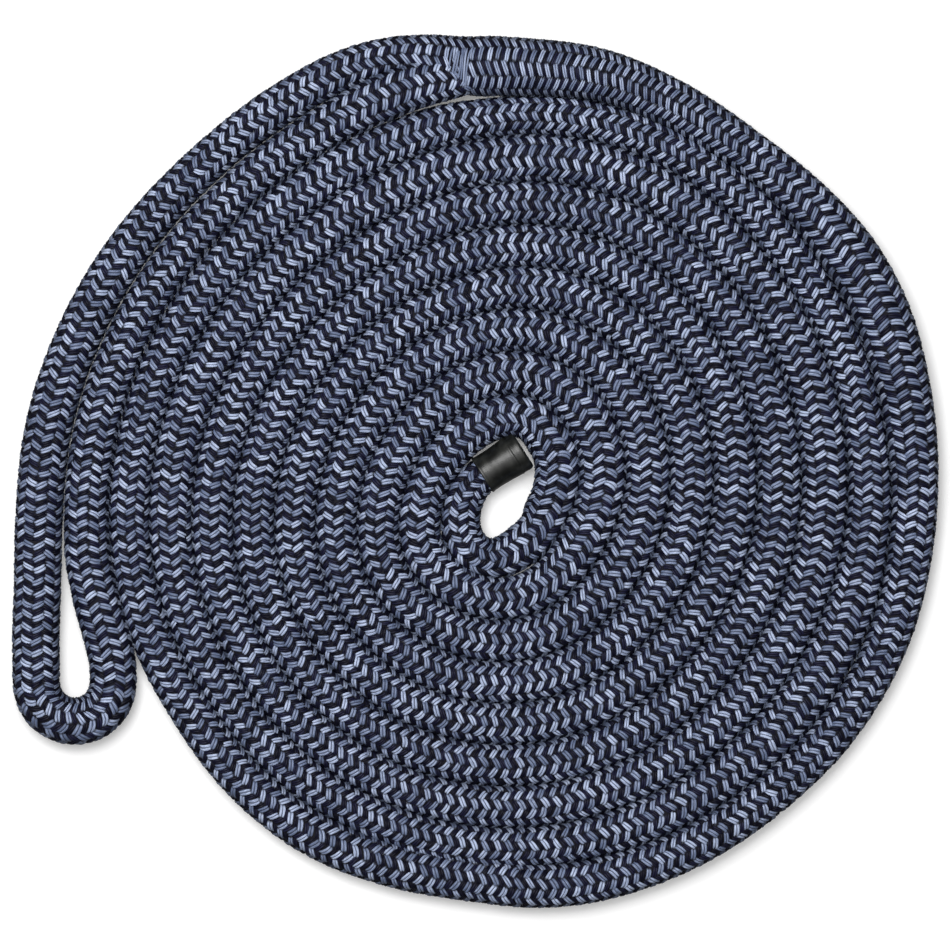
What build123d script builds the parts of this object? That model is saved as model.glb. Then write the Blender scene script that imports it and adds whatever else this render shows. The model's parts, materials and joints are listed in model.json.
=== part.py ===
"""A double-braid dock line with a spliced eye, laid down as a flat coil.

Millimetres, +Z up. The origin is on the floor at the coil's centre. Seen from above, the
line runs from its bitter end in the middle counter-clockwise outwards, swells over the
splice at the top (+Y) and ends in an eye that lies against the coil's left side (-X).

The line bends at three places, where its cover and core are divided: a ball-shaped end
faces a flat end across a small gap, so that each length can turn without touching.
"""

from build123d import *
from math import cos, pi, radians, sin
import os

os.makedirs("parts", exist_ok=True)

# Rope
rope_diameter = 16.0  # free rope, as in the eye
turn_diameter = 15.2  # the same rope where neighbouring turns squeeze it
turn_gap = 0.1
cover_wall = 2.2
braid_clearance = 0.3  # air between a braid and the one inside it
joint_clearance = 0.4  # gap between a ball end and the flat end behind it
swing_clearance = 1.4  # the same at the splice, whose flat end is slightly askew
resting_flat = 0.12  # depth of the flat that the floor presses into the turns

# Coil: distance from the centre to the rope's axis, and how far it is from round
inner_reach = 24.9
oval_swell = 2.05
oval_direction = radians(58.1)
lobe_swell = 0.92
lobe_direction = radians(-42.6)
coil_start = radians(-90.0)
eight_turns = 8 * 2 * pi
points_per_turn = 16

# Splice: its bury swells from the coil's last turn up to the throat of the eye
bury_start = eight_turns + radians(14.0)
bury_full = eight_turns + radians(78.0)
swing_angle = eight_turns + radians(91.0)
throat_diameter = 22.6
bury_stations = 12
cover_tail_tip = 1.2  # radius of the buried cover tail at its thin end
cover_tail_root = 3.2
least_core_tail = 0.75
tail_start_swell = 1.0  # the buried core tail starts where the bury has grown this much

# Throat and eye
throat_length = 24.0  # from the swing joint to the lift joint
leg_gap = 0.8  # extra room between the inner leg and the coil
throat_gap = 1.8  # further room where the legs leave the throat
throat_fade = radians(25.0)  # the angle over which that room fades away
leg_spacing = 16.1
leg_spread = 2.4  # how much further apart the legs are where they leave the coil
inner_leg_end = eight_turns + radians(190.0)
outer_leg_end = eight_turns + radians(180.0)
leg_points = 7
bend_centre = (-159.4, -68.9)
bend_radius = 14.0
bend_from = 14.5  # degrees, where the inner leg meets the bend, seen from its centre

# Bitter end
tail_diameter = 14.8
tail_first_radius = 16.4
tail_second_radius = 14.0
end_heading = 31.0  # degrees, direction in which the bitter end points
neck_length = 1.5
gripped_radius = 6.0  # rope squeezed inside the sleeve
sleeve_length = 16.1
sleeve_wall = 0.8
sleeve_lip = 1.2  # radius of the sleeve's curled end
sleeve_mouth = 4.8  # radius of the opening left in the curled end
lining_wall = 0.4
fused_length = 1.6
small_clearance = 0.05

# Values that follow from those above
turn_radius = turn_diameter / 2
turn_pitch = turn_diameter + turn_gap
turn_height = turn_radius - resting_flat
core_radius = turn_radius - cover_wall - braid_clearance
throat_radius = throat_diameter / 2
throat_swell = throat_radius - turn_radius
leg_radius = rope_diameter / 2
leg_core_radius = leg_radius - cover_wall - braid_clearance
tail_radius = tail_diameter / 2
tail_core_radius = tail_radius - cover_wall - braid_clearance


def reach(angle):
    """Distance from the centre to the tangent of the rope's axis that faces this way."""
    oval = oval_swell * cos(2 * (angle - oval_direction))
    lobe = lobe_swell * cos(3 * (angle - lobe_direction))
    return inner_reach + turn_pitch * angle / (2 * pi) + oval + lobe


def reach_slope(angle):
    """Rate at which reach grows with the angle."""
    oval = -2 * oval_swell * sin(2 * (angle - oval_direction))
    lobe = -3 * lobe_swell * sin(3 * (angle - lobe_direction))
    return turn_pitch / (2 * pi) + oval + lobe


def facing(angle):
    """Outward direction at this angle."""
    return Vector(cos(angle), sin(angle), 0)


def heading(angle):
    """Direction of the rope, running outwards, where it faces this angle."""
    return Vector(-sin(angle), cos(angle), 0)


def on_coil(angle, outward, height):
    """Point on a line that runs parallel to the coil's own axis, outside it."""
    across = facing(angle) * (reach(angle) + outward)
    along = heading(angle) * reach_slope(angle)
    return across + along + Vector(0, 0, height)


def swell(angle):
    """Growth of the cover's radius along the bury."""
    share = (angle - bury_start) / (bury_full - bury_start)
    share = min(max(share, 0.0), 1.0)
    return throat_swell * share * share * (3 - 2 * share)


def spaced(first, last, count):
    """Evenly spaced values from first to last."""
    return [first + (last - first) * step / (count - 1) for step in range(count)]


def disc(point, direction, outer, inner=0.0):
    """Round or ring-shaped cross-section, square to the given direction."""
    with BuildSketch(Plane(origin=point, z_dir=direction)) as section:
        Circle(outer)
        if inner > 0:
            Circle(inner, mode=Mode.SUBTRACT)
    return section.sketch


def ball_end(point, direction, radius):
    """Half ball at the end of a rope, bulging in the given direction."""
    with BuildPart(Plane(origin=point, z_dir=direction)) as half:
        Sphere(radius, arc_size1=0, align=(Align.CENTER, Align.CENTER, Align.MIN))
    return half.part


def rope_loft(angles, outward, height, radius):
    """Round solid that runs along the coil, its offset, height and radius all varying."""
    with BuildPart() as rope:
        for angle in angles:
            with BuildSketch(Plane(origin=on_coil(angle, outward(angle), height(angle)), z_dir=heading(angle))):
                Circle(radius(angle))
        loft()
    return rope.part


def write(part, name):
    """Labels a finished piece and writes it."""
    part.label = name
    export_step(part, f"parts/{name}.step")


# Where the coil's cover and core stop short of the ball joints at their two ends
first_bend = 22.0  # the coil's radius of curvature at its inner end
coil_first = coil_start + (tail_radius + joint_clearance) / first_bend
coil_last = swing_angle - (throat_radius + swing_clearance) / reach(swing_angle)
turns_in_coil = (bury_start - coil_first) / (2 * pi)
turn_angles = spaced(coil_first, bury_start, round(turns_in_coil * points_per_turn))
bury_angles = spaced(bury_start, coil_last, bury_stations)


def bury_height(angle):
    """Height of the rope's axis, which rises as the bury grows."""
    return turn_height + swell(angle)


# Coil cover: the braided sheath of all the turns, flattened a little where it rests
with BuildPart() as coil_cover:
    with BuildLine() as turns_path:
        Spline(*[on_coil(angle, 0, turn_height) for angle in turn_angles])
    inner_radius = turn_radius - cover_wall
    sweep(
        sections=disc(turns_path.line @ 0, turns_path.line % 0, turn_radius, inner_radius),
        path=turns_path.line,
    )
    split(bisect_by=Plane.XY, keep=Keep.TOP)
write(coil_cover.part, "coil_cover")

# Splice cover: the same sheath where it swells over the buried tails
with BuildPart() as splice_cover:
    add(rope_loft(bury_angles, swell, bury_height, lambda angle: turn_radius + swell(angle)))
    add(
        rope_loft(bury_angles, swell, bury_height, lambda angle: turn_radius - cover_wall + swell(angle)),
        mode=Mode.SUBTRACT,
    )
    split(bisect_by=Plane.XY, keep=Keep.TOP)
write(splice_cover.part, "splice_cover")


def cover_tail_radius(angle):
    """Radius of the cover's tapered tail, which thickens towards the throat."""
    share = (angle - bury_angles[2]) / (bury_angles[-1] - bury_angles[2])
    return cover_tail_tip + (cover_tail_root - cover_tail_tip) * share


# Standing core: the inner braid, solid in the coil and opened by the cover tail in the splice
with BuildPart() as coil_core:
    with BuildLine() as core_path:
        Spline(*[on_coil(angle, 0, bury_height(angle)) for angle in turn_angles + bury_angles[1:]])
    sweep(sections=disc(core_path.line @ 0, core_path.line % 0, core_radius), path=core_path.line)
    add(
        rope_loft(
            bury_angles[2:],
            lambda angle: 0,
            bury_height,
            lambda angle: cover_tail_radius(angle) + braid_clearance / 2,
        ),
        mode=Mode.SUBTRACT,
    )
write(coil_core.part, "coil_core")

# Buried cover tail: the tapered end of the sheath, drawn into the standing core
write(rope_loft(bury_angles[2:], lambda angle: 0, bury_height, cover_tail_radius), "buried_cover_tail")


def core_tail_radius(angle):
    """Radius of the core's tapered tail, which fills the room that the bury's swelling leaves."""
    return max(swell(angle) - braid_clearance, least_core_tail)


def core_tail_offset(angle):
    """Distance of the core tail's axis outside the standing core's."""
    return core_radius + braid_clearance / 2 + core_tail_radius(angle)


# Buried core tail: the core's own end, tucked in beside the standing core
tail_angles = [angle for angle in bury_angles if swell(angle) > tail_start_swell]
write(rope_loft(tail_angles, core_tail_offset, bury_height, core_tail_radius), "buried_core_tail")

# Throat: a straight length between the swing joint and the lift joint
along = heading(swing_angle)
outwards = facing(swing_angle)
swing_point = on_coil(swing_angle, throat_swell, throat_radius)
lift_angle = swing_angle + throat_length / reach(swing_angle)
inner_side = (on_coil(lift_angle, leg_gap + throat_gap, 0) - swing_point).dot(outwards)
lift_base = swing_point + along * throat_length
inner_ball = lift_base + outwards * inner_side + Vector(0, 0, leg_radius - throat_radius)
outer_ball = inner_ball + outwards * leg_spacing
mouth_length = throat_length - leg_radius - joint_clearance
mouth_back = along * (mouth_length - throat_length)


def throat_loft(thinner):
    """Shape that runs from the round bury to the two legs side by side."""
    round_width = 0.4  # spacing that keeps the first section the same kind as the last
    middle = (inner_ball + outer_ball) * 0.5 + mouth_back
    with BuildPart() as shape:
        with BuildSketch(Plane(origin=swing_point, x_dir=outwards, z_dir=along)):
            SlotCenterToCenter(round_width, 2 * (throat_radius - thinner))
        with BuildSketch(Plane(origin=middle, x_dir=outwards, z_dir=along)):
            SlotCenterToCenter(leg_spacing, 2 * (leg_radius - thinner))
        loft()
    return shape.part


with BuildPart() as throat_cover:
    add(throat_loft(0))
    add(throat_loft(cover_wall), mode=Mode.SUBTRACT)
    add(ball_end(swing_point, -along, throat_radius))
write(throat_cover.part, "throat_cover")


def throat_core(side, first_radius, ball):
    """Length of core inside the throat, from its place in the bury to its leg of the eye."""
    with BuildPart() as rope:
        with BuildSketch(Plane(origin=swing_point + outwards * side + along, z_dir=along)):
            Circle(first_radius)
        with BuildSketch(Plane(origin=ball + mouth_back, z_dir=along)):
            Circle(leg_core_radius)
        loft()
    return rope.part


core_squeeze = 0.9  # the cores are pressed together inside the throat
tail_root = core_tail_radius(swing_angle) * core_squeeze
standing_root = core_radius * core_squeeze
tail_side = core_radius + core_tail_radius(swing_angle) - throat_swell
write(throat_core(-throat_swell, standing_root, inner_ball), "throat_standing_core")
write(throat_core(tail_side, tail_root, outer_ball), "throat_core_tail")


# Eye: the legs run down the coil's left side and meet in a round bend
def inner_offset(angle):
    """Distance of the inner leg outside the coil's axis, shrinking away from the throat."""
    share = min((angle - lift_angle) / throat_fade, 1.0)
    return leg_gap + throat_gap * (1 - share) ** 2


def outer_offset(angle):
    """Distance of the outer leg outside the coil's axis, growing towards the bend."""
    share = (angle - lift_angle) / (outer_leg_end - lift_angle)
    return inner_offset(angle) + leg_spacing + leg_spread * share


leg_start = lift_angle + radians(7.0)
inner_leg = [
    on_coil(angle, inner_offset(angle), leg_radius)
    for angle in spaced(leg_start, inner_leg_end, leg_points)
]
outer_leg = [
    on_coil(angle, outer_offset(angle), leg_radius)
    for angle in spaced(outer_leg_end, leg_start, leg_points)
]
bend_start = Vector(*bend_centre, leg_radius) + facing(radians(bend_from)) * bend_radius
into_bend = -heading(radians(bend_from))
with BuildLine() as eye_path:
    leg_in = Spline(inner_ball, *inner_leg, bend_start, tangents=(along, into_bend))
    bend = JernArc(leg_in @ 1, into_bend, bend_radius, -180 - bend_from)
    Spline(bend @ 1, *outer_leg, outer_ball, tangents=(bend % 1, -along))

with BuildPart() as eye_cover:
    inner_radius = leg_radius - cover_wall
    sweep(
        sections=disc(eye_path.line @ 0, eye_path.line % 0, leg_radius, inner_radius),
        path=eye_path.line,
    )
    add(ball_end(inner_ball, -along, leg_radius))
    add(ball_end(outer_ball, -along, leg_radius))
write(eye_cover.part, "eye_cover")

with BuildPart() as eye_core:
    sweep(sections=disc(eye_path.line @ 0, eye_path.line % 0, leg_core_radius), path=eye_path.line)
write(eye_core.part, "eye_core")

# Bitter end: the rope curls into the coil's centre and ends in a shrunk sleeve
tail_point = on_coil(coil_start, 0, tail_radius)
with BuildLine() as tail_path:
    first_curl = JernArc(tail_point, -heading(coil_start), tail_first_radius, -90)
    JernArc(first_curl @ 1, first_curl % 1, tail_second_radius, end_heading - 90)
end_point = tail_path.line @ 1
end_direction = tail_path.line % 1
end_plane = Plane(origin=end_point, x_dir=end_direction, z_dir=(0, 0, 1))
end_axis = Axis(end_point, end_direction)
sleeve_inner = gripped_radius + small_clearance + lining_wall + small_clearance
sleeve_outer = sleeve_inner + sleeve_wall
sleeve_end = neck_length + sleeve_length
fused_end_at = sleeve_end - sleeve_lip - fused_length


def turned_about_end(*outline):
    """Round piece on the bitter end's axis, from its outline as (along, radius) points."""
    with BuildPart() as piece:
        with BuildSketch(end_plane):
            with BuildLine():
                Polyline(*outline, close=True)
            make_face()
        revolve(axis=end_axis)
    return piece.part


with BuildPart() as tail_cover:
    inner_radius = tail_radius - cover_wall
    gripped_inner = gripped_radius - cover_wall + braid_clearance
    sweep(
        sections=disc(tail_path.line @ 0, tail_path.line % 0, tail_radius, inner_radius),
        path=tail_path.line,
    )
    add(ball_end(tail_point, heading(coil_start), tail_radius))
    add(
        turned_about_end(
            (0, inner_radius),
            (0, tail_radius),
            (neck_length, gripped_radius),
            (fused_end_at, gripped_radius),
            (fused_end_at, gripped_inner),
            (neck_length, gripped_inner),
        )
    )
write(tail_cover.part, "tail_cover")

with BuildPart() as tail_core:
    gripped_core = gripped_inner - braid_clearance
    sweep(sections=disc(tail_path.line @ 0, tail_path.line % 0, tail_core_radius), path=tail_path.line)
    add(
        turned_about_end(
            (0, 0),
            (0, tail_core_radius),
            (neck_length, gripped_core),
            (fused_end_at, gripped_core),
            (fused_end_at, 0),
        )
    )
write(tail_core.part, "tail_core")

# Fused end: cover and core melted into one hard disc with a rounded rim
with BuildPart() as fused_end:
    rim = 0.8
    add(
        turned_about_end(
            (fused_end_at, 0),
            (fused_end_at, gripped_radius),
            (fused_end_at + fused_length, gripped_radius),
            (fused_end_at + fused_length, 0),
        )
    )
    end_face_edges = fused_end.edges().filter_by(GeomType.CIRCLE).sort_by(end_axis)[-1:]
    fillet(end_face_edges, radius=rim)
write(fused_end.part, "fused_end")

# Sleeve lining: hot-melt film between the rope and the shrunk sleeve
write(
    turned_about_end(
        (neck_length + small_clearance, gripped_radius + small_clearance),
        (neck_length + small_clearance, sleeve_inner - small_clearance),
        (fused_end_at, sleeve_inner - small_clearance),
        (fused_end_at, gripped_radius + small_clearance),
    ),
    "sleeve_lining",
)

# End sleeve: shrunk tube whose far end curls in over the rope's end
with BuildPart() as end_sleeve:
    with BuildSketch(end_plane):
        with BuildLine():
            curl_at = sleeve_end - sleeve_lip
            outside = Line((neck_length, sleeve_outer), (curl_at, sleeve_outer))
            curl = JernArc(outside @ 1, (1, 0), sleeve_lip, -90)
            mouth_edge = Line(curl @ 1, (sleeve_end, sleeve_mouth))
            mouth_wall = Line(mouth_edge @ 1, (sleeve_end - sleeve_wall, sleeve_mouth))
            inner_rise = Line(mouth_wall @ 1, (sleeve_end - sleeve_wall, sleeve_outer - sleeve_lip))
            inner_curl = JernArc(inner_rise @ 1, (0, 1), sleeve_lip - sleeve_wall, 90)
            inside = Line(inner_curl @ 1, (neck_length, sleeve_inner))
            Line(inside @ 1, outside @ 0)
        make_face()
    revolve(axis=end_axis)
write(end_sleeve.part, "end_sleeve")
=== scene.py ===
"""The looks of the coiled double-braid dock line: every strand of its cover as geometry.

One continuous rope is laid from its bitter end in the coil's centre, round the coil, through
the swollen splice, into the eye's outer leg, round the eye's bend and back up the inner leg,
which tucks into the mouth of the splice. Lengths are in millimetres until a mesh is made.
"""
import bpy
import json
import math
import numpy as np
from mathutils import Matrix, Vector


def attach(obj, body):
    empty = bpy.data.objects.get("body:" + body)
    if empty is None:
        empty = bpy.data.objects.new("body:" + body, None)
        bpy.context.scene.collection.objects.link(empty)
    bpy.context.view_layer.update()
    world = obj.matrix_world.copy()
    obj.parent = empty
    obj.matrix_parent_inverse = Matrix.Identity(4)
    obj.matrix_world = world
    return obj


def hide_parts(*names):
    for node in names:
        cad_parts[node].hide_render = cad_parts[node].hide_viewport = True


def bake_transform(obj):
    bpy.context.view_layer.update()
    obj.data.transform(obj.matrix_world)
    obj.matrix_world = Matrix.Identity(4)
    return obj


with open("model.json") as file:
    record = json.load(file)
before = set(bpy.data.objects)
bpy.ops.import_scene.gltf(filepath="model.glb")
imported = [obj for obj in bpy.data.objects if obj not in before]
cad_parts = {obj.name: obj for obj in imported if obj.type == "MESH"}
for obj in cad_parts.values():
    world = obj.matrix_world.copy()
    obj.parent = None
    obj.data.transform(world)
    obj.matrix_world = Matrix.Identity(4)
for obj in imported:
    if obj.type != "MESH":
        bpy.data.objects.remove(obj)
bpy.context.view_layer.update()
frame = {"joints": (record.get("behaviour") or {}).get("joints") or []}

MM = 0.001
TAU = 2 * math.pi
rng = np.random.default_rng(16)  # every scatter in the braid is drawn from here, in the order of the pieces

# ---------------------------------------------------------------- the line's course
# The coil's plain curve, as in the CAD model: an even spiral with an oval and a three-sided swell
INNER_REACH = 24.9
PITCH = 15.3
OVAL = 2.05
OVAL_DIR = math.radians(58.1)
LOBE = 0.92
LOBE_DIR = math.radians(-42.6)
EIGHT = 8 * TAU  # the angle at which eight turns are complete
SWING = EIGHT + math.radians(91.0)  # where the eye swings, just behind the splice's throat


def reach(a):
    """Distance from the centre to the tangent of the coil's curve that faces angle a."""
    oval = OVAL * np.cos(2 * (a - OVAL_DIR))
    lobe = LOBE * np.cos(3 * (a - LOBE_DIR))
    return INNER_REACH + PITCH * a / TAU + oval + lobe


def reach_slope(a):
    """Rate at which reach grows with the angle."""
    oval = -2 * OVAL * np.sin(2 * (a - OVAL_DIR))
    lobe = -3 * LOBE * np.sin(3 * (a - LOBE_DIR))
    return PITCH / TAU + oval + lobe


def on_coil(a, outward):
    """Points (n, 2) that lie this far outside the coil's curve."""
    a = np.asarray(a, float)
    r, s = reach(a) + outward, reach_slope(a)
    return np.stack([np.cos(a) * r - np.sin(a) * s, np.sin(a) * r + np.cos(a) * s], -1)


def eased(x, knots):
    """Smooth curve through (x, y) knots, flat beyond the first and last."""
    kx, ky = np.array(knots, float).T
    x = np.clip(x, kx[0], kx[-1])
    i = np.clip(np.searchsorted(kx, x) - 1, 0, len(kx) - 2)
    slope = np.gradient(ky, kx)
    d = kx[i + 1] - kx[i]
    t = (x - kx[i]) / d
    return ((2 * t ** 3 - 3 * t ** 2 + 1) * ky[i] + (t ** 3 - 2 * t ** 2 + t) * d * slope[i]
            + (3 * t ** 2 - 2 * t ** 3) * ky[i + 1] + (t ** 3 - t ** 2) * d * slope[i + 1])


# How the hand-laid turns stray from the plain curve. Each wave goes once more round each turn than the one
# before, and is (cosine, sine, growth of the cosine, growth of the sine) from the first turn to the last.
WAVES = (
    (-3.0, -0.1, 4.9, 0.37),
    (-1.24, 1.58, 1.24, -1.16),
    (0.49, 0.44, -1.33, -0.45),
    (0.16, 0.49, 0.42, -1.16),
)
# Places where a turn was pushed in or out: degrees along the coil, width in degrees, millimetres outwards
DENTS = (
    (-5, 35, -2.0),
    (-62, 26, -2.4),
    (42, 36, -1.9),
    (118, 30, -1.1),
    (228, 32, -1.6),
    (298, 30, -1.0),
    (355, 35, -1.0),
    (402, 36, -0.9),
    (478, 30, -0.5),
    (6 * 360 + 85, 32, 0.5),
    (7 * 360 + 80, 32, 1.3),
    (7 * 360 + 120, 30, 1.0),
    (7 * 360 + 5, 22, 0.8),
)


def hand_laid(a):
    """How far the turns, laid by hand, lie outside the coil's plain curve."""
    t = a / EIGHT
    out = -0.52 + 1.17 * t
    for h, (c0, s0, c1, s1) in enumerate(WAVES, 1):
        out = out + (c0 + c1 * t) * np.cos(h * a) + (s0 + s1 * t) * np.sin(h * a)
    for where, width, much in DENTS:
        out = out + much * np.exp(-((np.degrees(a) - where) / width) ** 2)
    return out


# By degrees past the eighth turn: how far outside the plain curve the last turn's outer edge lies, its half
# width, and the place of the axis and the half width of each leg of the eye
LAST_EDGE = (
    (-150, 5.0), (-132, 7.2), (-120, 7.9), (-108, 6.7), (-96, 6.0), (-84, 8.4), (-66, 9.0),
    (-48, 9.4), (-36, 11.0), (-24, 12.1), (0, 12.3), (12, 13.4), (24, 15.1), (33, 14.8),
    (42, 12.5), (54, 10.7), (66, 12.7), (78, 15.3), (90, 16.1), (97, 18.0), (103, 20.0),
)
LAST_HALF = (
    (-200, 7.65), (-150, 7.8), (-120, 8.3), (-10, 8.4), (0, 8.8), (6, 9.4), (12, 9.9),
    (18, 10.5), (27, 10.7), (36, 10.6), (41, 9.5), (47, 8.5), (54, 8.3), (61, 8.9),
    (68, 9.3), (75, 9.6), (81, 10.2), (89, 10.9), (97, 11.4),
)
INNER_LEG = (
    (95, 3.4), (97, 3.0), (99, 2.8), (102, 2.9), (105, 2.9), (109, 2.2), (113, 1.5),
    (120, 0.6), (130, 0.1), (150, 0.3), (168, 0.6), (180, 0.6), (186, 0.7),
)
INNER_HALF = (
    (95, 6.2), (97, 7.2), (99, 7.8), (102, 8.5), (105, 9.0), (109, 9.1), (113, 8.4),
    (120, 8.0), (130, 7.7), (150, 7.9), (168, 8.4), (180, 8.5), (190, 8.75),
)
OUTER_LEG = (
    (93, 5.75), (95, 5.95), (96.5, 6.3), (98, 7.5), (101, 11.0), (104, 13.7), (108, 16.1),
    (113, 17.0), (120, 16.2), (130, 15.5), (150, 16.55), (168, 17.8), (180, 18.05), (184, 18.8),
)
OUTER_HALF = (
    (93, 11.2), (95, 11.45), (96.5, 11.5), (98, 11.0), (101, 9.3), (104, 8.2), (108, 7.7),
    (113, 7.5), (120, 7.8), (130, 7.6), (150, 8.35), (168, 8.8), (190, 8.85),
)
# Heights by the same degrees: each leg's axis, and the inner leg's half height
OUTER_HEIGHT = (
    (93, 10.8), (98, 9.8), (103, 8.2), (108, 7.6), (130, 7.5), (168, 8.4), (190, 8.5),
)
INNER_HEIGHT = (
    (95, 11.6), (99, 12.2), (104, 12.0), (109, 10.6), (114, 8.9), (120, 7.9), (130, 7.6),
    (168, 8.2), (190, 8.5),
)
INNER_TALL = (
    (95, 6.0), (99, 7.0), (104, 7.6), (109, 7.8), (116, 7.8), (130, 7.6), (168, 8.2),
    (190, 8.5),
)
FLAT = 0.35  # how much lower than wide the rope lies
STEP = 0.5  # distance between the rows that describe the line
PRESS = 0.35  # how far neighbouring turns press into each other


def knots_line(points, step=STEP):
    """Evenly spaced rows along a polyline of rows that start with x and y."""
    p = np.asarray(points, float)
    d = np.r_[0, np.cumsum(np.linalg.norm(np.diff(p[:, :2], axis=0), axis=1))]
    s = np.linspace(0, d[-1], max(2, int(round(d[-1] / step)) + 1))
    return np.stack([np.interp(s, d, p[:, k]) for k in range(p.shape[1])], -1)


def soften(rows, width):
    """Gaussian smoothing along the rows, in steps, holding both ends."""
    n = int(width * 3)
    g = np.exp(-0.5 * (np.arange(-n, n + 1) / width) ** 2)
    g /= g.sum()
    first, last = rows[0], rows[-1]
    before = 2 * first - rows[n:0:-1]
    after = 2 * last - rows[-2:-n - 2:-1]
    padded = np.concatenate([before, rows, after])
    return np.stack([np.convolve(padded[:, k], g, "valid") for k in range(rows.shape[1])], -1)


def headed(rows):
    """The same rows with the direction of travel added."""
    d = np.gradient(rows[:, :2], axis=0)
    return np.column_stack([rows, d / np.linalg.norm(d, axis=1)[:, None]])


def rope_rows():
    """The whole line as evenly spaced rows of x, y, z, half width, half height and direction of travel."""
    # bitter end, from inside the sleeve to the coil's first turn
    start = math.radians(-66)
    join = on_coil(start, hand_laid(start))
    tail_xy = [(-0.6, 13.6), (-9.0, 8.3), (-11.0, 7.0), (-13.4, 4.6), (-16.0, 0.6), (-17.6, -5.0),
               (-17.9, -11.0), (-16.0, -17.0), (-12.0, -21.4), (-6.2, -23.2), (-0.6, -21.6), tuple(join)]
    grip = [5.9, 6.2, 7.2] + [7.5] * (len(tail_xy) - 5) + [7.8, 8.2]
    tail = headed(knots_line([(x, y, 7.4, g, g - 0.1) for (x, y), g in zip(tail_xy, grip)]))
    # the coil and the bury
    a = np.linspace(start, SWING + math.radians(1.8), 24000)
    past = np.degrees(a - EIGHT)
    share = np.clip((past + 165) / 30, 0, 1)
    share = share * share * (3 - 2 * share)
    half = eased(past, LAST_HALF)
    off = hand_laid(a) * (1 - share) + (eased(past, LAST_EDGE) - half) * share
    xy = on_coil(a, off)
    high = np.where(half > 7.7, half - FLAT * np.clip((10 - half) / 2, 0, 1), half - 0.1)
    coil = knots_line(np.column_stack([xy, high, half, high, -np.sin(a), np.cos(a)]))
    # outer leg, bend, inner leg, and the inner leg's end inside the mouth
    out_deg = np.linspace(93.3, 184, 500)
    outer_half = eased(out_deg, OUTER_HALF)
    outer_z = eased(out_deg, OUTER_HEIGHT)
    out_a = np.radians(out_deg)
    outer_xy = on_coil(EIGHT + out_a, eased(out_deg, OUTER_LEG))
    outer = np.column_stack([outer_xy, outer_z, outer_half, outer_z, -np.sin(out_a), np.cos(out_a)])
    lying = (8.5, 8.8, 8.5)  # height, half width and half height near the bend
    turn = np.radians(np.linspace(182, 363, 60))
    bend_xy = np.column_stack([-159.5 + 14.2 * np.cos(turn), -68.5 + 14.2 * np.sin(turn)])
    bend = np.column_stack([bend_xy, np.tile(lying, (len(turn), 1))])
    in_deg = np.linspace(186, 95, 500)
    inner_half = eased(in_deg, INNER_HALF)
    inner_z = eased(in_deg, INNER_HEIGHT)
    inner_b = eased(in_deg, INNER_TALL)
    in_a = np.radians(in_deg)
    inner_xy = on_coil(EIGHT + in_a, eased(in_deg, INNER_LEG))
    inner = np.column_stack([inner_xy, inner_z, inner_half, inner_b, np.sin(in_a), -np.cos(in_a)])
    down = [(-151.6, -38.0, *lying), (-148.4, -49.0, *lying), (-145.6, -60.0, *lying)]
    up = [(-173.2, -32.5, *lying), (-173.8, -49.0, *lying)]
    tuck = [
        (*on_coil(EIGHT + math.radians(93.5), 4.0), 11.0, 4.8, 5.2),
        (*on_coil(EIGHT + math.radians(92), 4.6), 10.8, 4.0, 4.4),
    ]
    loop = headed(knots_line(np.concatenate([outer[-1:, :5], up, bend, down[::-1], inner[:1, :5]])))
    end = headed(knots_line(np.concatenate([inner[-1:, :5], tuck])))
    rows = np.concatenate([tail[:-1], coil, outer, loop[1:-1], inner, end[1:]])
    rows = knots_line(rows)
    rows = soften(rows, 2.2 / STEP)
    return knots_line(rows)


ROWS = rope_rows()
S = np.arange(len(ROWS)) * STEP  # distance along the line from the bitter end
XY = ROWS[:, :2]
D = ROWS[:, 5:7] / np.linalg.norm(ROWS[:, 5:7], axis=1)[:, None]
OUT = np.stack([D[:, 1], -D[:, 0]], -1)  # to the right of travel: outwards on the counter-clockwise coil


def nearest(point, lo_s=0.0, hi_s=1e9):
    """Distance along the line of its row nearest to a point, between two limits."""
    d = np.linalg.norm(XY - np.asarray(point), axis=1) + 1e6 * ((S < lo_s) | (S > hi_s))
    return S[int(np.argmin(d))]


JOINTS = {j["name"]: j for j in frame["joints"]}
P_TAIL = np.array(JOINTS["tail_lift"]["pos_m"]) * 1000
P_SWING = np.array(JOINTS["eye_swing"]["pos_m"]) * 1000
P_LIFT = np.array(JOINTS["eye_lift"]["pos_m"]) * 1000
LENGTH = S[-1]
S_TAIL = nearest(P_TAIL[:2], 0, 120)
S_SWING = nearest(P_SWING[:2], LENGTH - 900)
S_LIFT = S_SWING + 24.0  # the outer leg's place on the lift joint


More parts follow.
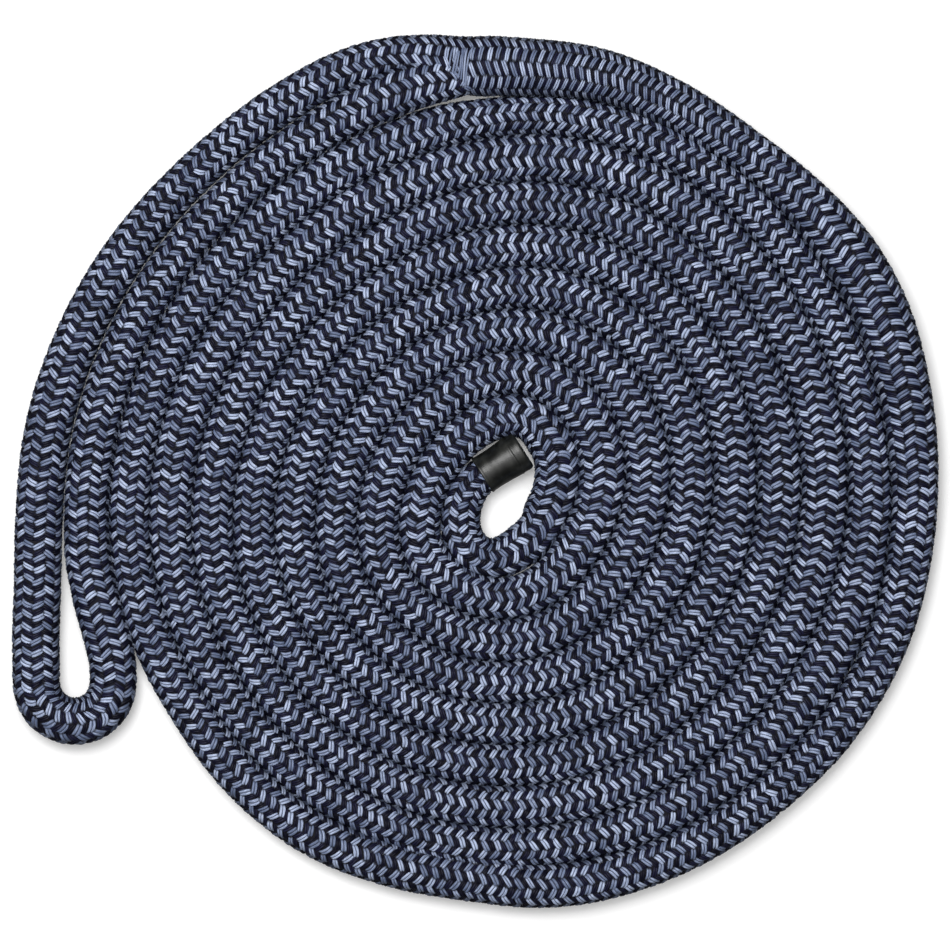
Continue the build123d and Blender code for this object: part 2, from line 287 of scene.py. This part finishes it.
def squeeze():
    """Half widths towards the inside and the outside of the coil, since each turn presses on the next."""
    inside = ROWS[:, 3].copy()
    outside = ROWS[:, 3].copy()
    idx = np.where((S > S_TAIL + 5) & (S < S_SWING))[0]
    ang = np.unwrap(np.arctan2(XY[idx, 1], XY[idx, 0]))
    r = np.linalg.norm(XY[idx], axis=1)
    room_in = r - np.interp(ang - TAU, ang, r)
    laid = np.clip((S[idx] - (S_SWING - 1250)) / 200, 0, 1)  # from here on the outer turn's own width counts
    near = np.where(ang - TAU < ang[0], 8.0, np.clip(room_in / 2 + PRESS, 7.2, 8.9))
    near = near * (1 - laid) + inside[idx] * laid
    # past the splice, the last turn lies against the eye's inner leg instead
    leg = np.arange(len(S) - 60, len(S) - 420, -1)
    leg_ang = np.unwrap(np.arctan2(XY[leg, 1], XY[leg, 0]))
    leg_ang += TAU * np.round((ang[-1] - leg_ang[0]) / TAU)
    past = leg_ang > ang[-1]
    all_ang = np.r_[ang, leg_ang[past]]
    leg_edge = np.linalg.norm(XY[leg], axis=1) - ROWS[leg, 3]
    all_edge = np.r_[r - near, leg_edge[past]]
    far = np.interp(ang + TAU, all_ang, all_edge) - r
    past_eight = np.degrees(ang + TAU - ang[-1]) + math.degrees(SWING - EIGHT)
    # the floor shows through a gap just inside the mouth of the splice
    gap = 1.3 * np.exp(-((past_eight - 94.2) / 2.3) ** 4)
    press = np.where(past_eight > 97, 0.3, 2 * PRESS) * (gap < 0.3) - gap
    far = np.where(ang + TAU > all_ang[-1], outside[idx], np.clip(far + press, 7.2, 10.2))
    inside[idx] = near
    outside[idx] = far
    return soften(np.stack([inside, outside], -1), 6 / STEP).T


INSIDE, OUTSIDE = squeeze()

# ---------------------------------------------------------------- the braid
CARRIERS = 12  # strands in each direction
LAY = 26.5  # length in which a strand goes once round
SHORT_LAY = 18.6  # the same in the bury, where the cover is bunched up
bunched = np.clip((S - (S_SWING - 118)) / 75, 0, 1) * np.clip((S_SWING + 34 - S) / 12, 0, 1)
bunched = bunched * bunched * (3 - 2 * bunched)
LAY_ROWS = LAY + (SHORT_LAY - LAY) * bunched
BETA = np.r_[0, np.cumsum(TAU * STEP / LAY_ROWS)[:-1]]  # the angle that a strand has turned by each row


def at(values, s):
    """A value that each row has, at any distance along the line."""
    return np.interp(s, S, values)


def surface(beta, phi, height):
    """Points on the rope: beta runs along it, phi round it from its outer side over the top."""
    s = np.interp(beta, BETA, S)
    x, y, z = (at(ROWS[:, k], s) for k in range(3))
    ox = at(OUT[:, 0], s)
    oy = at(OUT[:, 1], s)
    b = at(ROWS[:, 4], s) + height
    lean = np.cos(phi)
    side = np.where(lean > 0, at(OUTSIDE, s), at(INSIDE, s)) * lean + height * lean
    zz = z + b * np.sin(phi)
    # the floor presses the lowest strands flat
    zz = np.where(zz < 0.37, 0.12 + 0.25 * np.exp(np.clip((zz - 0.37) / 0.25, -30, 0)), zz)
    return np.stack([x + ox * side, y + oy * side, zz], -1)


def floats(s_from, s_to):
    """Every float whose middle lies on this length: beta, phi, direction and strand number."""
    b0, b1 = np.interp([s_from, s_to], S, BETA)
    out = []
    step = TAU / CARRIERS
    for family, first in ((1, 0.5), (-1, 2.5)):
        for k in range(CARRIERS // 2):
            phi = math.pi * (first + 4 * k) / CARRIERS
            shift = phi if family == 1 else -phi
            # S strand i: phi = step*i + beta; Z strand j: phi = step*j - beta
            lo_i = math.ceil((shift - b1) / step) if family == 1 else math.ceil((b0 - shift) / step)
            hi_i = math.ceil((shift - b0) / step) if family == 1 else math.ceil((b1 - shift) / step)
            i = np.arange(lo_i, hi_i)
            beta = shift - step * i if family == 1 else step * i + shift
            out.append(np.column_stack([beta, 0 * beta + phi, 0 * beta + family, i]))
    return np.concatenate(out)


# Grids of one float, along and across it: fine where it is seen, coarse under the line
FINE = (
    np.array([-1.3, -1.0, -0.74, -0.38, 0, 0.38, 0.74, 1.0, 1.3]),
    np.array([-1, -0.86, -0.5, -0.14, 0, 0.14, 0.5, 0.86, 1]),
)
COARSE = (
    np.array([-1.3, -0.8, 0, 0.8, 1.3]),
    np.array([-1, -0.5, 0, 0.5, 1]),
)


def pads(rows, grid):
    """Vertices of each float: two plump yarns side by side that rise over the strands they cross."""
    u, v = (axis.ravel()[None] for axis in np.meshgrid(*grid, indexing="ij"))
    beta, phi, family, number = (rows[:, k][:, None] for k in range(4))
    s = np.interp(beta, BETA, S)
    radius = (at(ROWS[:, 3], s) + at(ROWS[:, 4], s)) / 2
    along = at(LAY_ROWS, s) / TAU
    norm = np.hypot(along, radius)
    width = along * TAU / CARRIERS * radius / norm
    r = rng.normal(0, 1, (9, *beta.shape))
    light = (number.astype(int) % 2) == 0
    half = width / 2 * (np.where(light, 1.13, 0.86) + 0.06 * r[0])
    ends = math.pi / CARRIERS
    which = np.sign(v)  # the strand's two yarns
    w = np.abs(v)
    y = (w - 0.5) / 0.5  # across one yarn
    slip = u + which * 0.10 * r[4] + 0.06 * r[5]
    leaf = np.sqrt(np.clip(1 - np.clip(np.abs(slip) - 0.25, 0, 1.05) ** 2 * 0.62, 0.1, 1))
    vv = which * (0.5 * (1 - 0.10 * slip * slip) + 0.485 * leaf * y)
    vv = np.where(w == 0, 0, vv)
    bow = (0.03 + 0.03 * r[8]) * (1 - u * u)
    d_phi = u * ends + vv * (-family) * half * (along / norm) / radius + 0.028 * r[1]
    d_beta = u * ends * family * (1 + 0.14 * r[2]) + vv * half * (radius / norm) / along + bow + 0.035 * r[3]
    round_off = 1 - np.sqrt(np.clip(1 - (np.abs(y) * 0.985) ** 2, 0, 1))
    thick = np.clip(width / 1.9, 0.75, 1.3)
    dip = 0.10 * slip * slip + 0.85 * np.clip((np.abs(slip) - 0.42) / 0.9, 0, 1.1) ** 1.4
    height = -thick * (0.62 * round_off + dip)
    height = height + 0.05 * r[6] + which * 0.05 * r[7] + np.where(light, 0.05, -0.06)
    return surface(beta + d_beta, phi + d_phi, height), u, v


def grid_faces(nu, nv, flip):
    """Faces of an open grid of vertices."""
    i, j = np.meshgrid(np.arange(nu - 1), np.arange(nv - 1), indexing="ij")
    a = (i * nv + j).ravel()
    quad = np.stack([a, a + nv, a + nv + 1, a + 1], -1)
    return quad[:, ::-1] if flip else quad


def add_mesh(name, co, quads, uvs, attributes, material):
    """A smooth mesh from arrays; uvs and attributes are per vertex."""
    me = bpy.data.meshes.new(name)
    me.vertices.add(len(co))
    me.vertices.foreach_set("co", (co * MM).astype(np.float32).ravel())
    me.loops.add(quads.size)
    me.loops.foreach_set("vertex_index", quads.astype(np.int32).ravel())
    me.polygons.add(len(quads))
    me.polygons.foreach_set("loop_start", np.arange(0, quads.size, 4, dtype=np.int32))
    me.update(calc_edges=True)
    me.shade_smooth()
    for label, uv in uvs.items():
        layer = me.uv_layers.new(name=label)
        layer.data.foreach_set("uv", uv[quads.ravel()].astype(np.float32).ravel())
    for label, value in attributes.items():
        me.attributes.new(label, "FLOAT", "POINT").data.foreach_set("value", value.astype(np.float32))
    me.materials.append(material)
    ob = bpy.data.objects.new(name, me)
    bpy.context.scene.collection.objects.link(ob)
    return ob


def braid_mesh(name, rows, material, coarse_below=True):
    """One mesh of all these floats, with a yarn UV and a bake UV that gives each float its own cell."""
    n_before = 0  # vertices so far
    cells = max(1, math.ceil(math.sqrt(len(rows))))
    under = (np.sin(rows[:, 1]) < -0.45) & coarse_below
    cos, quads, yarn, bake, tone, side = ([] for _ in range(6))
    cell = 0
    for grid, chosen in ((FINE, rows[~under]), (COARSE, rows[under])):
        for family in (1, -1):
            some = chosen[chosen[:, 2] == family]
            if not len(some):
                continue
            co, u, v = pads(some, grid)
            per = len(grid[0]) * len(grid[1])
            q = grid_faces(len(grid[0]), len(grid[1]), family == -1)
            base = n_before + np.arange(len(some))[:, None, None] * per
            quads.append((q[None] + base).reshape(-1, 4))
            cos.append(co.reshape(-1, 3))
            n_before += len(some) * per
            uu = np.broadcast_to(u, (len(some), per))
            vv = np.broadcast_to(v, (len(some), per))
            yarn.append(np.stack([uu, vv], -1).reshape(-1, 2))
            index = cell + np.arange(len(some))[:, None]
            bu = (index % cells + 0.5 + uu / 1.3 * 0.40) / cells
            bv = (index // cells + 0.5 + vv * 0.40) / cells
            bake.append(np.stack([bu, bv], -1).reshape(-1, 2))
            tone.append(np.repeat(rng.random(len(some)), per))
            # side: how far each float faces sideways round the rope, which the yarn material turns into
            # painted shade on the rope's sides
            side.append(np.abs(np.cos(some[:, 1][:, None] + u * math.pi / CARRIERS)).ravel())
            cell += len(some)
    uvs = {"yarn": np.concatenate(yarn), "OFBake": np.concatenate(bake)}
    attributes = {"tone": np.concatenate(tone), "side": np.concatenate(side)}
    return add_mesh(name, np.concatenate(cos), np.concatenate(quads), uvs, attributes, material)


# ---------------------------------------------------------------- materials
def node_material(name):
    """An empty node material with its main shader."""
    m = bpy.data.materials.new(name)
    m.use_nodes = True
    nt = m.node_tree
    nt.nodes.clear()
    out = nt.nodes.new("ShaderNodeOutputMaterial")
    bsdf = nt.nodes.new("ShaderNodeBsdfPrincipled")
    nt.links.new(bsdf.outputs[0], out.inputs[0])
    return m, nt, bsdf


def maths(nt, op, a, b=None):
    """One sum on sockets or numbers."""
    n = nt.nodes.new("ShaderNodeMath")
    n.operation = op
    for k, value in enumerate((a, b)):
        if value is None:
            continue
        if isinstance(value, (int, float)):
            n.inputs[k].default_value = value
        else:
            nt.links.new(value, n.inputs[k])
    return n.outputs[0]


def ramp(nt, fac, stops):
    """Colour ramp through (position, colour) stops."""
    n = nt.nodes.new("ShaderNodeValToRGB")
    elements = n.color_ramp.elements
    for element, (position, colour) in zip(elements, (stops[0], stops[-1])):
        element.position = position
        element.color = (*colour, 1)
    for position, colour in stops[1:-1]:
        elements.new(position).color = (*colour, 1)
    nt.links.new(fac, n.inputs[0])
    return n.outputs[0]


def noise(nt, vector, scale, detail=2.0):
    n = nt.nodes.new("ShaderNodeTexNoise")
    n.inputs["Scale"].default_value = scale
    n.inputs["Detail"].default_value = detail
    nt.links.new(vector, n.inputs["Vector"])
    return n.outputs["Fac"]


def bump_from(nt, bsdf, height, strength, distance):
    """Fine relief on a material's main shader."""
    bump = nt.nodes.new("ShaderNodeBump")
    bump.inputs["Strength"].default_value = strength
    bump.inputs["Distance"].default_value = distance
    nt.links.new(height, bump.inputs["Height"])
    nt.links.new(bump.outputs[0], bsdf.inputs["Normal"])


def linear(r, g, b):
    """A display colour of 0 to 255 as linear light."""
    return tuple(((c / 255 + 0.055) / 1.055) ** 2.4 if c > 10 else c / 255 / 12.92 for c in (r, g, b))


def smooth_step(nt, value, low, high):
    """Soft change from 0 to 1 between two values."""
    n = nt.nodes.new("ShaderNodeMapRange")
    n.interpolation_type = "SMOOTHSTEP"
    n.inputs["From Min"].default_value = low
    n.inputs["From Max"].default_value = high
    nt.links.new(value, n.inputs["Value"])
    return n.outputs["Result"]


def yarn_material(name, dark, mid, light, shade_colour, sheen, specular):
    """Polyester filament yarn: fine fibres along each yarn, tones that vary from strand to strand,
    and painted shade: the colour darkens in the grooves beside each yarn, where its ends pass under and on
    the sides of the rope."""
    m, nt, bsdf = node_material(name)
    uv = nt.nodes.new("ShaderNodeUVMap")
    uv.uv_map = "yarn"
    sep = nt.nodes.new("ShaderNodeSeparateXYZ")
    nt.links.new(uv.outputs[0], sep.inputs[0])
    tone = nt.nodes.new("ShaderNodeAttribute")
    tone.attribute_name = "tone"
    com = nt.nodes.new("ShaderNodeCombineXYZ")
    nt.links.new(maths(nt, "MULTIPLY", sep.outputs[0], 0.7), com.inputs[0])
    skew = maths(nt, "MULTIPLY", sep.outputs[0], 1.2)
    nt.links.new(maths(nt, "ADD", maths(nt, "MULTIPLY", sep.outputs[1], 6.0), skew), com.inputs[1])
    nt.links.new(maths(nt, "MULTIPLY", tone.outputs["Fac"], 60.0), com.inputs[2])
    fibres = noise(nt, com.outputs[0], 1.6, 3.0)
    coord = nt.nodes.new("ShaderNodeTexCoord")
    wear = noise(nt, coord.outputs["Object"], 55.0, 2.0)
    by_strand = maths(nt, "MULTIPLY", tone.outputs["Fac"], 0.20)
    mixed = maths(nt, "ADD", maths(nt, "MULTIPLY", fibres, 0.66), by_strand)
    mixed = maths(nt, "ADD", mixed, maths(nt, "MULTIPLY", wear, 0.14))
    body = ramp(nt, mixed, ((0.33, dark), (0.48, mid), (0.63, light)))
    from_middle = maths(nt, "SUBTRACT", maths(nt, "ABSOLUTE", sep.outputs[1]), 0.5)
    across = maths(nt, "MULTIPLY", maths(nt, "ABSOLUTE", from_middle), 2.0)
    rough_edge = maths(nt, "MULTIPLY", maths(nt, "SUBTRACT", fibres, 0.5), 0.35)
    # painted shade: the colour darkens towards the edges of each yarn, between the two yarns of a strand and
    # beside the next strand
    groove = smooth_step(nt, maths(nt, "ADD", across, rough_edge), 0.58, 1.0)
    # painted shade where the float's ends pass under the strands it crosses
    end = smooth_step(nt, maths(nt, "ADD", maths(nt, "ABSOLUTE", sep.outputs[0]), rough_edge), 0.72, 1.12)
    shade = nt.nodes.new("ShaderNodeMix")
    shade.data_type = "RGBA"
    # painted shade on the rope's sides: the side attribute is how far each float faces sideways, and the
    # colour darkens towards the sides
    side = nt.nodes.new("ShaderNodeAttribute")
    side.attribute_name = "side"
    painted_side_shade = maths(nt, "MULTIPLY", smooth_step(nt, side.outputs["Fac"], 0.66, 1.0), 0.62)
    # all this painted shade mixes the yarn's colour towards the shade colour
    painted_shade = maths(nt, "MAXIMUM", maths(nt, "MULTIPLY", maths(nt, "MAXIMUM", groove, end), 0.94), painted_side_shade)
    nt.links.new(painted_shade, shade.inputs[0])
    nt.links.new(body, shade.inputs[6])
    shade.inputs[7].default_value = (*shade_colour, 1)
    nt.links.new(shade.outputs[2], bsdf.inputs["Base Color"])
    rough = maths(nt, "ADD", maths(nt, "MULTIPLY", fibres, 0.35), 0.28)
    nt.links.new(maths(nt, "ADD", rough, maths(nt, "MULTIPLY", groove, 0.3)), bsdf.inputs["Roughness"])
    bump_from(nt, bsdf, fibres, 0.6, 0.00012)
    bsdf.inputs["Specular IOR Level"].default_value = specular
    bsdf.inputs["Sheen Weight"].default_value = sheen
    bsdf.inputs["Sheen Roughness"].default_value = 0.4
    return m


# near-black painted shade for the braid's grooves, float ends and the rope's sides
BRAID_SHADE_COLOUR = linear(5, 5, 15)
BLUE_TONES = (linear(74, 86, 114), linear(116, 129, 160), linear(190, 203, 232))
NAVY_TONES = (linear(5, 5, 19), linear(12, 12, 32), linear(32, 33, 60))
BLUE = yarn_material("blue_yarn", *BLUE_TONES, BRAID_SHADE_COLOUR, sheen=0.05, specular=0.4)
NAVY = yarn_material("navy_yarn", *NAVY_TONES, BRAID_SHADE_COLOUR, sheen=0.0, specular=0.2)


def under_material():
    """Painted shade: a near-black layer for the braid's inner strands, seen only in the gaps of the braid."""
    m, nt, bsdf = node_material("shadowed_strands")
    coord = nt.nodes.new("ShaderNodeTexCoord")
    n = noise(nt, coord.outputs["Object"], 900.0, 3.0)
    # painted shade: near-black tones for the shaded strands under the floats
    colour = ramp(nt, n, ((0.3, linear(8, 7, 14)), (0.5, linear(13, 12, 22)), (0.75, linear(22, 22, 38))))
    nt.links.new(colour, bsdf.inputs["Base Color"])
    nt.links.new(maths(nt, "ADD", maths(nt, "MULTIPLY", n, 0.3), 0.6), bsdf.inputs["Roughness"])
    bump_from(nt, bsdf, n, 0.6, 0.0002)
    bsdf.inputs["Specular IOR Level"].default_value = 0.2
    return m


UNDER = under_material()


def tube_faces(rings, around):
    """Faces of a tube of rings, each with this many vertices around it."""
    i, j = np.meshgrid(np.arange(rings - 1), np.arange(around), indexing="ij")
    k = (j + 1) % around
    corners = [i * around + j, i * around + k, (i + 1) * around + k, (i + 1) * around + j]
    return np.stack(corners, -1).reshape(-1, 4)


def under_tube(name, s_from, s_to, depth=0.78):
    """The braid's inside layer, coloured near-black as painted shade, seen between the strands."""
    around = 24
    n = max(2, int((s_to - s_from) / 1.6) + 1)
    beta = np.interp(np.linspace(s_from, s_to, n), S, BETA)
    phi = np.linspace(0, TAU, around, endpoint=False)
    co = surface(np.repeat(beta, around), np.tile(phi, n), -depth)
    length = np.repeat(np.linspace(0, 1, n), around)
    uv = np.stack([length, np.tile(np.linspace(0, 1, around), n)], -1)
    return add_mesh(name, co, tube_faces(n, around), {"OFBake": uv}, {}, UNDER)


# ---------------------------------------------------------------- pieces of line
def lay_piece(name, s_from, s_to, place, replaced=()):
    """All strands on one length of line, as a light blue mesh, a navy mesh and the layer under them, painted
    in shade.
    """
    rows = floats(s_from, s_to)
    even = (rows[:, 3].astype(int) % 2) == 0
    made = [
        braid_mesh(name + "_blue", rows[even], BLUE),
        braid_mesh(name + "_navy", rows[~even], NAVY),
        under_tube(name + "_inside", s_from, s_to),
    ]
    for ob in made:
        place(ob)
    if replaced:
        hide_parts(*replaced)


def rides(body):
    """How to place a length that moves with one body."""
    return lambda ob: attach(ob, body)


def blends():
    """How to place a length that lies across the joint between two bodies: fixed where it lies, attached to
    neither.
    """
    return lambda ob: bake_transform(ob)


# Half the length of line that lies across each joint, in a piece of its own
TAIL_ZONE = 11.0
SWING_ZONE = 12.0
LIFT_ZONE = 12.0
BURY_LENGTH = 190
OUTER_LEG_LENGTH = 300
s_lift_in = nearest(P_LIFT[:2] + np.array([0, -8.0]), LENGTH - 60)  # the inner leg's place on the lift joint
bend_at_swing = blends()
bend_at_lift = blends()
bend_at_tail = blends()

# the coil in eight lengths, then the splice, the eye and the bitter end
cuts = np.linspace(S_TAIL + TAIL_ZONE, S_SWING - SWING_ZONE - BURY_LENGTH, 9)
for k in range(len(cuts) - 1):
    covered = ("coil_cover", "coil_core") if k == 0 else ()
    lay_piece(f"coil_turn_{k + 1}", cuts[k], cuts[k + 1], rides("coil"), covered)
covered = ("splice_cover", "buried_cover_tail", "buried_core_tail")
lay_piece("bury", cuts[-1], S_SWING - SWING_ZONE, rides("coil"), covered)
lay_piece("bury_end", S_SWING - SWING_ZONE, S_SWING + SWING_ZONE, bend_at_swing)
covered = ("throat_cover", "throat_standing_core", "throat_core_tail")
lay_piece("mouth", S_SWING + SWING_ZONE, S_LIFT + LIFT_ZONE, bend_at_lift, covered)
covered = ("eye_cover", "eye_core")
lay_piece("eye_outer_leg", S_LIFT + LIFT_ZONE, S_LIFT + OUTER_LEG_LENGTH, rides("eye"), covered)
lay_piece("eye_bend", S_LIFT + OUTER_LEG_LENGTH, s_lift_in - LIFT_ZONE, rides("eye"))
lay_piece("eye_tuck", s_lift_in - LIFT_ZONE, LENGTH - 2, bend_at_lift)
lay_piece("tail_curl", 0.5, S_TAIL - TAIL_ZONE, rides("tail"), ("tail_cover", "tail_core"))
lay_piece("tail_root", S_TAIL - TAIL_ZONE, S_TAIL + TAIL_ZONE, bend_at_tail)

# ---------------------------------------------------------------- strands drawn round the mouth of the splice
def mouth_strands():
    """Yarns of the cover pulled straight round the splice where the inner leg enters it."""
    cos, quads, yarn, bake, tone = ([] for _ in range(5))
    count = 7
    n_u = 36  # vertices along each yarn
    n_v = 8  # and around it
    share = np.linspace(0, 1, n_u)
    turn = np.linspace(0, TAU, n_v, endpoint=False)
    for k in range(count):
        first = 0.33 + 0.03 * rng.normal()
        phi = math.pi * (first + (0.99 - first) * share)
        spread = 16.6 + 1.05 * k + 0.16 * rng.normal()
        place = S_SWING + spread + 6.4 * (share - 0.5) + 0.35 * np.sin(5 * share + k)
        beta = np.interp(place, S, BETA)
        tapered = np.sqrt(np.clip(np.sin(math.pi * (0.02 + 0.96 * share)) * 3, 0, 1))
        girth = (0.42 + 0.03 * rng.normal()) * tapered
        dive = 1.1 * np.clip(1 - 6 * share * (1 - share) * 1.2, 0, 1)
        lift = 0.22 + 0.2 * math.sin(1.7 * k) - dive[:, None] + girth[:, None] * np.sin(turn) * 0.8
        ahead = np.interp(place, S, LAY_ROWS) / TAU
        bb = beta[:, None] + girth[:, None] * np.cos(turn) / ahead[:, None]
        co = surface(bb, np.broadcast_to(phi[:, None], bb.shape), lift)
        quads.append(tube_faces(n_u, n_v) + k * n_u * n_v)
        cos.append(co.reshape(-1, 3))
        u = np.repeat(np.linspace(-0.9, 0.9, n_u), n_v)
        v = np.tile(0.5 + 0.5 * np.cos(turn), n_u)
        yarn.append(np.stack([u, v], -1))
        bake.append(np.stack([0.5 + 0.5 * u, (k + 0.1 + 0.8 * np.tile(turn / TAU, n_u)) / count], -1))
        tone.append(np.full(n_u * n_v, 0.45 * rng.random()))
    tone = np.concatenate(tone)
    uvs = {"yarn": np.concatenate(yarn), "OFBake": np.concatenate(bake)}
    # side is 0: no painted side shade on these strands
    attributes = {"tone": tone, "side": 0 * tone}
    return add_mesh("mouth_strands", np.concatenate(cos), np.concatenate(quads), uvs, attributes, BLUE)


drawn = mouth_strands()
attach(drawn, "throat")


# ---------------------------------------------------------------- the shrunk sleeve and the fused end
def lathe(name, profile, base, tip, bumps, material, turns=96):
    """A round piece about the line from base to tip; bumps(t, phi) changes its radius."""
    base = np.asarray(base, float)
    tip = np.asarray(tip, float)
    axis = (tip - base) / np.linalg.norm(tip - base)
    side = np.array([axis[1], -axis[0], 0])
    up = np.array([0, 0, 1.0])
    pr = np.asarray(profile, float)
    d = np.r_[0, np.cumsum(np.linalg.norm(np.diff(pr, axis=0), axis=1))]
    w = np.linspace(0, d[-1], int(d[-1] / 0.18) + 2)
    t = np.interp(w, d, pr[:, 0])
    r = np.interp(w, d, pr[:, 1])
    # round off the profile's corners
    k = np.exp(-0.5 * (np.arange(-3, 4) / 1.4) ** 2)
    k /= k.sum()
    t[3:-3] = np.convolve(t, k, "valid")
    r[3:-3] = np.convolve(r, k, "valid")
    phi = np.linspace(0, TAU, turns, endpoint=False)
    tt, pp = np.meshgrid(t, phi, indexing="ij")
    rr = np.maximum(r[:, None] + bumps(tt, pp) * np.clip(r / 3, 0, 1)[:, None], 0.0)
    co = base + tt[..., None] * axis + (rr * np.cos(pp))[..., None] * side + (rr * np.sin(pp))[..., None] * up
    uv = np.stack([(pp / TAU).ravel(), np.repeat(w / w[-1], turns)], -1)
    return add_mesh(name, co.reshape(-1, 3), tube_faces(len(t), turns), {"OFBake": uv}, {}, material)


def sleeve_bumps(t, phi):
    """The braid under the sleeve shows faintly, and the film is a little uneven."""
    braid = np.maximum(np.sin(6 * phi + t * 1.9), np.sin(6 * phi - t * 1.9 + 1.0))
    return 0.012 * braid + 0.07 * np.sin(2 * phi + 0.4 * t + 1.0) + 0.03 * np.sin(3 * phi - 0.5 * t)


def sleeve_material():
    """Black shrunk plastic, cloudy and slightly uneven in its gloss."""
    m, nt, bsdf = node_material("shrunk_sleeve")
    coord = nt.nodes.new("ShaderNodeTexCoord")
    cloudy = noise(nt, coord.outputs["Object"], 260.0, 3.0)
    fine = noise(nt, coord.outputs["Object"], 2600.0, 3.0)
    blacks = ((0.35, linear(15, 16, 15)), (0.5, linear(24, 25, 23)), (0.7, linear(40, 41, 38)))
    colour = ramp(nt, cloudy, blacks)
    nt.links.new(colour, bsdf.inputs["Base Color"])
    nt.links.new(maths(nt, "ADD", maths(nt, "MULTIPLY", cloudy, 0.30), 0.22), bsdf.inputs["Roughness"])
    both = maths(nt, "ADD", maths(nt, "MULTIPLY", cloudy, 0.8), maths(nt, "MULTIPLY", fine, 0.2))
    bump_from(nt, bsdf, both, 0.35, 0.0002)
    return m


def fused_material():
    """Melted polyester: hard, glossy and streaked with both colours of yarn."""
    m, nt, bsdf = node_material("fused_polyester")
    coord = nt.nodes.new("ShaderNodeTexCoord")
    n = noise(nt, coord.outputs["Object"], 900.0, 4.0)
    colour = ramp(nt, n, ((0.3, linear(12, 12, 20)), (0.55, linear(34, 38, 58)), (0.75, linear(88, 96, 120))))
    nt.links.new(colour, bsdf.inputs["Base Color"])
    nt.links.new(maths(nt, "ADD", maths(nt, "MULTIPLY", n, 0.4), 0.12), bsdf.inputs["Roughness"])
    bump_from(nt, bsdf, n, 0.8, 0.0004)
    return m


SLEEVE_BASE = (-9.8, 7.7, 7.35)
SLEEVE_TIP = (4.4, 16.9, 7.7)
# (along the sleeve, radius): rolled lip, waist, the ridge over the rope's end, and the curled-in far end
sleeve_profile = [(0.25, 6.5), (0.0, 6.9), (0.1, 7.25), (0.5, 7.35), (1.6, 7.1), (4.5, 7.1), (9.0, 7.35),
                  (12.8, 7.62), (13.7, 7.8), (14.2, 7.5), (14.9, 7.6), (16.2, 7.7), (17.3, 7.55), (17.9, 7.1),
                  (18.1, 6.5), (17.8, 6.0), (17.2, 5.8), (16.8, 6.1), (16.5, 6.5)]
sleeve = lathe("heat_shrink_sleeve", sleeve_profile, SLEEVE_BASE, SLEEVE_TIP, sleeve_bumps, sleeve_material())
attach(sleeve, "tail")
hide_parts("end_sleeve", "sleeve_lining")


def melt_bumps(t, phi):
    """The melted end is lumpy."""
    return 0.12 * np.sin(5 * phi + t) + 0.08 * np.sin(9 * phi)


melt_profile = [(13.5, 6.0), (15.2, 6.1), (15.7, 5.6), (15.9, 4.0), (15.75, 2.0), (15.9, 0.0)]
melt = lathe("fused_rope_end", melt_profile, SLEEVE_BASE, SLEEVE_TIP, melt_bumps, fused_material())
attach(melt, "tail")
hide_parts("fused_end")

# ---------------------------------------------------------------- stage
floor_me = bpy.data.meshes.new("floor")
floor_me.from_pydata([(-3, -3, 0), (3, -3, 0), (3, 3, 0), (-3, 3, 0)], [], [(0, 1, 2, 3)])
floor = bpy.data.objects.new("floor", floor_me)
bpy.context.scene.collection.objects.link(floor)
paper, paper_nodes, paper_shader = node_material("paper")
paper_shader.inputs["Roughness"].default_value = 0.9
path = paper_nodes.nodes.new("ShaderNodeLightPath")
shade = paper_nodes.nodes.new("ShaderNodeMix")
shade.data_type = "RGBA"
paper_nodes.links.new(path.outputs["Is Camera Ray"], shade.inputs[0])
shade.inputs[6].default_value = (0.2, 0.2, 0.2, 1)  # what the floor gives back to the rope
shade.inputs[7].default_value = (0.86, 0.86, 0.86, 1)  # what the camera sees
paper_nodes.links.new(shade.outputs[2], paper_shader.inputs["Base Color"])
paper_shader.inputs["Emission Color"].default_value = (1, 1, 1, 1)
glow = maths(paper_nodes, "MULTIPLY", path.outputs["Is Camera Ray"], 0.2)
paper_nodes.links.new(glow, paper_shader.inputs["Emission Strength"])
floor_me.materials.append(paper)

world = bpy.data.worlds.new("studio")
bpy.context.scene.world = world
world.use_nodes = True
sky_nodes = world.node_tree
background = sky_nodes.nodes["Background"]
background.inputs[0].default_value = (1, 1, 1, 1)
sky_way = sky_nodes.nodes.new("ShaderNodeTexCoord")
sky_height = sky_nodes.nodes.new("ShaderNodeSeparateXYZ")
sky_nodes.links.new(sky_way.outputs["Generated"], sky_height.inputs[0])
up_share = maths(sky_nodes, "MAXIMUM", sky_height.outputs[2], 0.0)
# a wide soft light straight overhead that fades quickly towards the horizon
overhead = maths(sky_nodes, "MULTIPLY", maths(sky_nodes, "POWER", up_share, 7.0), 2.1)
sky_nodes.links.new(maths(sky_nodes, "ADD", overhead, 0.035), background.inputs[1])


def softbox(name, place, side, power):
    """A square soft light that faces the coil's centre."""
    light = bpy.data.lights.new(name, "AREA")
    light.shape = "SQUARE"
    light.size = side
    light.energy = power
    ob = bpy.data.objects.new(name, light)
    ob.location = place
    ob.rotation_mode = "QUATERNION"
    ob.rotation_quaternion = (Vector((0, 0, 0)) - Vector(place)).to_track_quat("-Z", "Y")
    bpy.context.scene.collection.objects.link(ob)


softbox("key", (-0.30, 0.42, 1.35), 0.7, 16.0)

camera = bpy.data.cameras.new("camera")
camera.type = "PERSP"
camera.sensor_width = 36.0
distance = 2.4
seen_width = 0.3498  # what the picture spans at the rope's height
camera.lens = camera.sensor_width * distance / seen_width
view = bpy.data.objects.new("camera", camera)
view.location = (-0.01214, 0.0078, distance + 0.008)
bpy.context.scene.collection.objects.link(view)
bpy.context.scene.camera = view
bpy.context.scene.view_settings.view_transform = "Standard"
